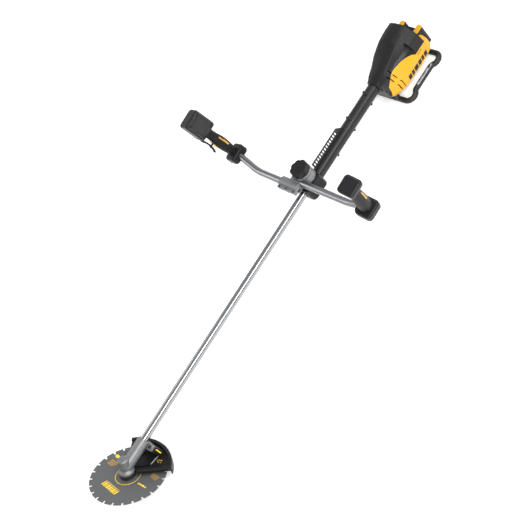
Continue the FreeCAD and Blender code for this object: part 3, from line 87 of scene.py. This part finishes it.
# colour, roughness, metallic, grain scale, grain depth, mottle scale, mottle contrast, edge radius, specular
FINISHES = {
    "tube": ((0.34, 0.343, 0.35), 0.20, 1.0, 1800, 0.0, 2, 0.02, 0.0004, 0.5),
    "bar": ((0.30, 0.303, 0.315), 0.30, 1.0, 1500, 0.00001, 5, 0.04, 0.0004, 0.5),
    "casting": ((0.20, 0.203, 0.21), 0.46, 0.55, 1100, 0.00008, 24, 0.10, 0.0009, 0.5),
    "black": ((0.0085, 0.0087, 0.0095), 0.42, 0.0, 1700, 0.00006, 18, 0.14, 0.0007, 0.25),
    "shell": ((0.0085, 0.0087, 0.0095), 0.38, 0.0, 1700, 0.00005, 18, 0.14, 0.003, 0.28),
    "rim": ((0.03, 0.0305, 0.032), 0.36, 0.0, 1700, 0.00003, 18, 0.1, 0.0003, 0.5),
    "cover": ((0.0095, 0.0098, 0.0105), 0.34, 0.0, 1700, 0.00005, 18, 0.12, 0.0007, 0.36),
    "dark": ((0.010, 0.010, 0.011), 0.55, 0.0, 1500, 0.00005, 18, 0.12, 0.0005, 0.5),
    "yellow": ((0.62, 0.315, 0.012), 0.36, 0.0, 1400, 0.00002, 12, 0.04, 0.002, 0.30),
    "print": ((0.90, 0.60, 0.03), 0.5, 0.0, 1600, 0.00001, 30, 0.06, 0.0001, 0.5),
    "amber": ((0.48, 0.26, 0.035), 0.5, 0.0, 1600, 0.00001, 30, 0.08, 0.0001, 0.5),
    "rubber": ((0.006, 0.006, 0.0065), 0.52, 0.0, 2200, 0.00010, 20, 0.15, 0.0006, 0.22),
    "powder": ((0.013, 0.0133, 0.0145), 0.45, 0.0, 1900, 0.00008, 20, 0.12, 0.0004, 0.36),
    "blade": ((0.155, 0.157, 0.16), 0.5, 0.65, 1300, 0.00003, 10, 0.05, 0.0002, 0.5),
    "steel": ((0.45, 0.45, 0.46), 0.34, 1.0, 1500, 0.00003, 20, 0.06, 0.0004, 0.5),
    "oxide": ((0.06, 0.06, 0.063), 0.42, 0.8, 1500, 0.00003, 20, 0.08, 0.0004, 0.5),
    "brass": ((0.55, 0.38, 0.12), 0.35, 1.0, 1500, 0.00003, 20, 0.06, 0.0004, 0.5),
    "copper": ((0.35, 0.13, 0.06), 0.42, 0.9, 900, 0.0001, 40, 0.2, 0.0004, 0.5),
    "wrap": ((0.05, 0.18, 0.09), 0.3, 0.0, 900, 0.00002, 25, 0.06, 0.0004, 0.5),
    "nylon": ((0.66, 0.64, 0.58), 0.5, 0.0, 1500, 0.00003, 20, 0.05, 0.0004, 0.5),
    "board": ((0.02, 0.09, 0.04), 0.4, 0.0, 800, 0.00005, 60, 0.2, 0.0003, 0.5),
    "grey_print": ((0.32, 0.32, 0.33), 0.5, 0.0, 1600, 0.00001, 60, 0.12, 0.0001, 0.5),
}

LOOKS = {
    "tube": ("shaft_tube",),
    "bar": ("handlebar_left", "handlebar_right"),
    "casting": ("gearbox_housing", "guard_bracket", "bar_clamp_body", "bar_clamp_cap", "clamp_plate",
                "motor_end_plates"),
    "black": ("clamp_base_upper", "clamp_base_lower", "clamp_knob", "right_handle_core", "left_handle_core",
              "throttle_trigger", "throttle_switch", "blade_guard", "cooling_fan"),
    "shell": ("motor_cover", "motor_base", "control_box_front", "control_box_rear", "left_cap",
              "battery_case"),
    "cover": ("shaft_cover_left", "shaft_cover_right"),
    "yellow": ("side_housing_left", "side_housing_right", "battery_trim", "lock_off_lever",
               "speed_selector", "battery_latch"),
    "rubber": ("left_grip", "right_grip", "spindle_seal"),
    "powder": ("harness_rail", "foot_frame", "drive_flange", "gearbox_shield"),
    "blade": ("cutting_blade",),
    "steel": ("drive_shaft", "ball_bearings", "crown_gear", "pinion_gear", "cutter_spindle", "clamp_washer",
              "ground_cup", "blade_nut", "clamp_stud", "clamp_spring", "handle_pins", "motor_rotor"),
    "oxide": ("cutting_head_screws", "cover_and_base_screws", "bar_clamp_screws"),
    "brass": ("drive_coupler",),
    "copper": ("motor_stator",),
    "wrap": ("battery_cells",),
    "nylon": ("shaft_bushes",),
    "board": ("motor_controller",),
}


def principled(name):
    """A new material with its node tree and its shader."""
    mat = bpy.data.materials.new(name)
    mat.use_nodes = True
    tree = mat.node_tree
    return mat, tree, tree.nodes["Principled BSDF"]


def noise(tree, scale, detail, roughness):
    """A noise texture in object coordinates."""
    coords = tree.nodes.new("ShaderNodeTexCoord")
    texture = tree.nodes.new("ShaderNodeTexNoise")
    texture.inputs["Scale"].default_value = scale
    texture.inputs["Detail"].default_value = detail
    texture.inputs["Roughness"].default_value = roughness
    tree.links.new(coords.outputs["Object"], texture.inputs["Vector"])
    return texture.outputs["Fac"]


def ramp(tree, source, dark, light):
    """Turns a noise into a colour between dark and light."""
    node = tree.nodes.new("ShaderNodeValToRGB")
    node.color_ramp.elements[0].position = MOTTLE_FROM
    node.color_ramp.elements[1].position = MOTTLE_TO
    node.color_ramp.elements[0].color = (*dark, 1)
    node.color_ramp.elements[1].color = (*light, 1)
    tree.links.new(source, node.inputs["Fac"])
    return node.outputs["Color"]


def spread(tree, source, low, high):
    """Turns a noise into a value between low and high."""
    node = tree.nodes.new("ShaderNodeMapRange")
    node.inputs["To Min"].default_value = low
    node.inputs["To Max"].default_value = high
    tree.links.new(source, node.inputs["Value"])
    return node.outputs["Result"]


def bump(tree, source, strength, distance, normal):
    """Relief from a noise, on top of a softened normal."""
    node = tree.nodes.new("ShaderNodeBump")
    node.inputs["Strength"].default_value = strength
    node.inputs["Distance"].default_value = distance
    tree.links.new(source, node.inputs["Height"])
    tree.links.new(normal, node.inputs["Normal"])
    return node.outputs["Normal"]


def finish(name, colour, roughness, metallic, grain, depth, mottle, contrast, edge, specular):
    """A material: colour mottled by slow noise, roughness and bump from fine grain, softened edges."""
    mat, tree, shader = principled(name)
    slow = noise(tree, mottle, detail=4.0, roughness=0.55)
    dark = [c * (1 - contrast) for c in colour]
    light = [min(1.0, c * (1 + contrast)) for c in colour]
    tree.links.new(ramp(tree, slow, dark, light), shader.inputs["Base Color"])
    fine = noise(tree, grain, detail=2.0, roughness=0.6)
    uneven = spread(tree, fine, roughness - ROUGHNESS_SPREAD, roughness + ROUGHNESS_SPREAD)
    tree.links.new(uneven, shader.inputs["Roughness"])
    soft = tree.nodes.new("ShaderNodeBevel")
    soft.samples = EDGE_SAMPLES
    soft.inputs["Radius"].default_value = edge
    relief = bump(tree, fine, BUMP_STRENGTH, depth, soft.outputs["Normal"])
    tree.links.new(relief, shader.inputs["Normal"])
    shader.inputs["Metallic"].default_value = metallic
    shader.inputs["Specular IOR Level"].default_value = specular
    return mat


MATERIALS = {name: finish(name, *values) for name, values in FINISHES.items()}


def paint(node, material):
    """Puts a material in every slot of a CAD node."""
    if not node.material_slots:
        node.data.materials.append(material)
    for slot in node.material_slots:
        slot.material = material


for look, names in LOOKS.items():
    for name in names:
        paint(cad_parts[name], MATERIALS[look])


# ---- flat outlines, in mm ----

def rectangle(x0, x1, y0, y1, lean=0.0):
    """A rectangle, its upper edge moved sideways by lean."""
    return [(x0, y0), (x1, y0), (x1 + lean, y1), (x0 + lean, y1)]


def block(x0, x1, y0, y1, rows=1):
    """A rectangle cut into rows, for surfaces that bend across it."""
    heights = [y0 + (y1 - y0) * i / rows for i in range(rows + 1)]
    return [rectangle(x0, x1, low, high) for low, high in zip(heights, heights[1:])]


def bars(start, widths, gap, low, high, lean):
    """A row of slanted bars, one per width."""
    quads = []
    for width in widths:
        quads.append(rectangle(start, start + width, low, high, lean))
        start += width + gap
    return quads


def stroke(x0, y0, x1, y1, width):
    """A straight stroke of that width."""
    size = math.hypot(x1 - x0, y1 - y0)
    dx = (x1 - x0) / size * width / 2
    dy = (y1 - y0) / size * width / 2
    return [(x0 + dy, y0 - dx), (x1 + dy, y1 - dx), (x1 - dy, y1 + dx), (x0 - dy, y0 + dx)]


def on_circle(radius, angle):
    """A point of a circle round the middle."""
    return (radius * math.cos(angle), radius * math.sin(angle))


def ring(inner, outer, steps):
    """Quads round a flat ring."""
    quads = []
    for i in range(steps):
        a = math.radians(360 * i / steps)
        b = math.radians(360 * (i + 1) / steps)
        quads.append([on_circle(inner, a), on_circle(outer, a), on_circle(outer, b), on_circle(inner, b)])
    return quads


def oval(x, y, half_width, half_height, steps):
    """An oval round (x, y)."""
    angles = [math.tau * i / steps for i in range(steps)]
    return [(x + half_width * math.cos(a), y + half_height * math.sin(a)) for a in angles]


def between(a, b, share):
    """The point that lies that share of the way from a to b."""
    return (a[0] + (b[0] - a[0]) * share, a[1] + (b[1] - a[1]) * share)


def strips(quads, length):
    """Cuts each quad into strips no longer than length, so that it can bend with a surface."""
    cut = []
    for a, b, c, d in quads:
        count = max(1, math.ceil(max(math.dist(a, b), math.dist(d, c)) / length))
        for i in range(count):
            low = i / count
            high = (i + 1) / count
            cut.append([between(a, b, low), between(a, b, high), between(d, c, high), between(d, c, low)])
    return cut


# ---- marks: thin closed plates on the CAD surfaces ----
INK_LOW = 0.86              # blade print, above the middle of the blade, in mm
INK_HIGH = 0.98
RAY_START = 60              # mm outside the surface
SINK = 0.00005              # how deep the foot of a mark lies, in metres
INK = 0.00015               # heights above the surface, in metres
LABEL = 0.00012
LABEL_INK = 0.00022
PANEL = 0.0003
EMBLEM = 0.0006
RIM = 0.0009


def piece(name, plates, material, body):
    """A piece of closed plates. Each is (outline at the bottom, outline at the top) in the row frame."""
    mesh = bpy.data.meshes.new(name)
    bm = bmesh.new()
    for low, high in plates:
        bottom = [bm.verts.new(p) for p in low]
        top = [bm.verts.new(p) for p in high]
        bm.faces.new(top)
        bm.faces.new(bottom[::-1])
        for i in range(len(low)):
            j = (i + 1) % len(low)
            bm.faces.new((bottom[i], bottom[j], top[j], top[i]))
    bmesh.ops.recalc_face_normals(bm, faces=bm.faces)
    bm.to_mesh(mesh)
    bm.free()
    mesh.materials.append(MATERIALS[material])
    obj = bpy.data.objects.new(name, mesh)
    bpy.context.scene.collection.objects.link(obj)
    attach(obj, body)


def surface_point(node, point, direction):
    """Where a ray, given in the shaft frame, meets a CAD node, and the outward normal there."""
    inverse = node.matrix_world.inverted()
    start = inverse @ place(*point)
    aim = (inverse.to_3x3() @ direction).normalized()
    found, spot, normal, _ = node.ray_cast(start, aim)
    if not found:
        return None
    return node.matrix_world @ spot, (node.matrix_world.to_3x3() @ normal).normalized()


def decal(name, quads, centre, across, along, node_name, material, body, length, lift=INK):
    """Plates from quads in the plane of across and along, laid down on a CAD node."""
    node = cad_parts[node_name]
    across = Vector(across).normalized()
    along = Vector(along).normalized()
    outward = across.cross(along).normalized()
    plates = []
    for quad in strips(quads, length):
        starts = [Vector(centre) + across * u + along * v + outward * RAY_START for u, v in quad]
        found = [surface_point(node, start, -outward) for start in starts]
        if None not in found:
            plates.append(([spot - normal * SINK for spot, normal in found],
                           [spot + normal * lift for spot, normal in found]))
    piece(name, plates, material, body)


def on_blade(x, t, h):
    """A point h above the middle plane of the blade: x to the right and t to the front of its axis."""
    point = BLADE_CENTRE + BLADE_RIGHT * x + BLADE_FORWARD * t + BLADE_UP * h
    return place(*point)


def blade_plates(outlines):
    """Outlines on the blade as print."""
    return [([on_blade(x, t, INK_LOW) for x, t in outline], [on_blade(x, t, INK_HIGH) for x, t in outline])
            for outline in outlines]


def blade_prints():
    """Yellow ring, block of bars, oval and small marks on the blade, and two amber blocks of lines."""
    yellow = ring(40.7, 42.3, 96)
    yellow += bars(-37, (5, 4, 7, 4, 6, 8, 4, 6, 5), 3, 62, 79, 3)
    yellow.append(rectangle(-37, 38, 58, 59.6))
    yellow.append(oval(98, -27, 11, 6, 24))
    for x0, x1, t0, t1 in ((-62, -56, -3, 3), (-72, -64, -4, 1), (-84, -74, -6, 0), (-92, -86, -6, -2)):
        yellow.append(rectangle(x0, x1, t0, t1, 1))
    amber = [rectangle(64 + 4 * row, 102, -9 + 6 * row, -6 + 6 * row) for row in range(4)]
    amber += [rectangle(-92, -56 - 2 * row, -59 + 5 * row, -57.2 + 5 * row) for row in range(4)]
    piece("blade_print_yellow", blade_plates(yellow), "print", "cutter")
    piece("blade_print_amber", blade_plates(amber), "amber", "cutter")


def side_marks():
    """Slanted bars along both flat sides of the motor head."""
    sign = bars(0.0, (15, 12, 19, 16, 12, 15), 3.8, 0, 17, 4)
    decal("side_mark_left", sign, (-75, -566, -50), REARWARD, UPWARD, "side_housing_left", "black", "root",
          length=4)
    decal("side_mark_right", sign, (75, -680, -50), FORWARD, UPWARD, "side_housing_right", "black", "root",
          length=4)


def rail_label():
    """Grey label on the left rail of the foot loop, with dark lines in place of small print."""
    front = (-74, -576, -90)
    uphill = (0.7, 0, 0.7)
    lines = block(8, 30, 1.2, 2.2) + block(34, 50, 1.2, 2.2) + block(8, 24, -1.6, -0.6)
    lines += block(28, 58, -1.6, -0.6) + block(66, 78, -3, 3, 3)
    decal("rail_label", block(0, 84, -4.5, 4.5, 4), front, REARWARD, uphill, "foot_frame", "grey_print",
          "root", length=12, lift=LABEL)
    decal("rail_label_lines", lines, front, REARWARD, uphill, "foot_frame", "dark", "root",
          length=12, lift=LABEL_INK)


def control_box_face():
    """Raised rim and dark panel on the inner face of the control box, one half on each shell."""
    outer = 33
    inner = 30
    width = outer - inner
    seam = 0.2              # how far each half stays from the seam between the shells
    across = GRIP_AXIS.cross(BOX_INNER_SIDE)
    rim = block(-inner, inner, inner, outer) + block(-inner, inner, -outer, -inner)
    rim += block(-inner, width - inner, -inner, inner) + block(inner - width, inner, -inner, inner)
    for half, sign in (("front", -1), ("rear", 1)):
        shell = "control_box_" + half
        kept = [[(max(u * sign, seam) * sign, v) for u, v in quad] for quad in rim]
        kept = [quad for quad in kept if abs(quad[0][0] - quad[1][0]) > 2 * seam]
        panel = [[(seam * sign, -28), (25 * sign, -28), (25 * sign, 26), (seam * sign, 26)]]
        decal("box_rim_" + half, kept, BOX_CENTRE, across, GRIP_AXIS, shell, "rim", "handlebar",
              length=60, lift=RIM)
        decal("box_panel_" + half, panel, BOX_CENTRE, across, GRIP_AXIS, shell, "dark", "handlebar",
              length=60, lift=PANEL)


def facing(name, strokes, centre, node_name, material, body):
    """Raised strokes, (x0, y0, x1, y1, width), laid on a CAD node along the camera's line of sight."""
    decal(name, [stroke(*line) for line in strokes], centre, VIEW_RIGHT, VIEW_UP, node_name, material, body,
          length=2, lift=EMBLEM)


def small_marks():
    """Marks of the guard and flashes on the grips."""
    scale = [(-8, 0, -4, 0, 2), (-2, 1, 2, 1, 2), (4, 0, 9, 0, 3), (-6, -4, 0, -5, 2), (3, -5, 6, -5, 2)]
    facing("guard_bar", [(-7, 7, 7, -7, 4)], (-36, 878, -46), "blade_guard", "print", "root")
    facing("guard_scale", scale, (-44, 901, -64.5), "blade_guard", "amber", "root")
    facing("guard_line", [(-12, -12, 10, 10, 3.5)], (-38, 908, -52), "blade_guard", "grey_print", "root")
    facing("grip_flash_right", [(-16, 10, 2, -1, 5), (-1, 2, 16, -10, 6)], (320, -88, 134), "right_grip",
           "amber", "handlebar")
    facing("grip_flash_left", [(-10, 8, 1, -1, 5), (-1, 1, 10, -8, 6)], (-364, -89, 156), "left_grip",
           "amber", "handlebar")


blade_prints()
side_marks()
rail_label()
control_box_face()
small_marks()


# ---- studio, light and camera, in the row frame: metres ----
FLOOR_HALF = 8.0
FLOOR_GAP = 0.0002
FLOOR_DARK = (0.93, 0.93, 0.93)
FLOOR_LIGHT = (0.96, 0.96, 0.96)
FLOOR_GLOW = 0.22
CAMERA_REACH = 50.0
WORLD_STRENGTH = 0.55
# name, place, target, length, width, power in watts
LIGHTS = (
    ("long_softbox", (-2.2, 0.1, 2.3), (0, 0, 0.1), 3.6, 0.6, 110),
    ("rear_softbox", (-0.4, -2.4, 2.6), (0, -0.4, 0.1), 1.6, 1.2, 45),
    ("fill", (2.6, 1.2, 2.2), (0, 0, 0.1), 2.4, 1.2, 22),
)


def area_light(name, location, target, length, width, power):
    """A rectangular light that faces its target."""
    data = bpy.data.lights.new(name, "AREA")
    data.shape = "RECTANGLE"
    data.size = length
    data.size_y = width
    data.energy = power
    light = bpy.data.objects.new(name, data)
    light.location = location
    light.rotation_euler = (Vector(target) - Vector(location)).to_track_quat("-Z", "Y").to_euler()
    bpy.context.scene.collection.objects.link(light)


def studio_floor():
    """A pale floor just under the object, and no part of it."""
    mat, tree, shader = principled("studio_floor")
    slow = noise(tree, scale=1.2, detail=2.0, roughness=0.55)
    tree.links.new(ramp(tree, slow, FLOOR_DARK, FLOOR_LIGHT), shader.inputs["Base Color"])
    shader.inputs["Roughness"].default_value = 0.9
    shader.inputs["Specular IOR Level"].default_value = 0.1
    shader.inputs["Emission Color"].default_value = (1, 1, 1, 1)
    shader.inputs["Emission Strength"].default_value = FLOOR_GLOW
    corners = [(x * FLOOR_HALF, y * FLOOR_HALF, 0) for x, y in ((-1, -1), (1, -1), (1, 1), (-1, 1))]
    mesh = bpy.data.meshes.new("studio_floor")
    mesh.from_pydata(corners, [], [(0, 1, 2, 3)])
    mesh.materials.append(mat)
    floor = bpy.data.objects.new("studio_floor", mesh)
    floor.location.z = CAD_BOX[0][2] - FLOOR_GAP
    bpy.context.scene.collection.objects.link(floor)


def world_light():
    """An even white sky."""
    world = bpy.data.worlds.new("studio")
    world.use_nodes = True
    background = world.node_tree.nodes["Background"]
    background.inputs["Color"].default_value = (1, 1, 1, 1)
    background.inputs["Strength"].default_value = WORLD_STRENGTH
    bpy.context.scene.world = world


def camera():
    """The camera of the photo."""
    data = bpy.data.cameras.new("camera")
    data.lens = LENS
    data.sensor_width = FILM_WIDTH
    data.clip_end = CAMERA_REACH
    view = bpy.data.objects.new("camera", data)
    turn = Matrix((VIEW_RIGHT, VIEW_UP, VIEW_BACK)).transposed()
    view.matrix_world = Matrix.Translation(place(*CAMERA_PLACE)) @ turn.to_4x4()
    bpy.context.scene.collection.objects.link(view)
    bpy.context.scene.camera = view


studio_floor()
world_light()
for light in LIGHTS:
    area_light(*light)
camera()
bpy.context.scene.view_settings.view_transform = "Standard"
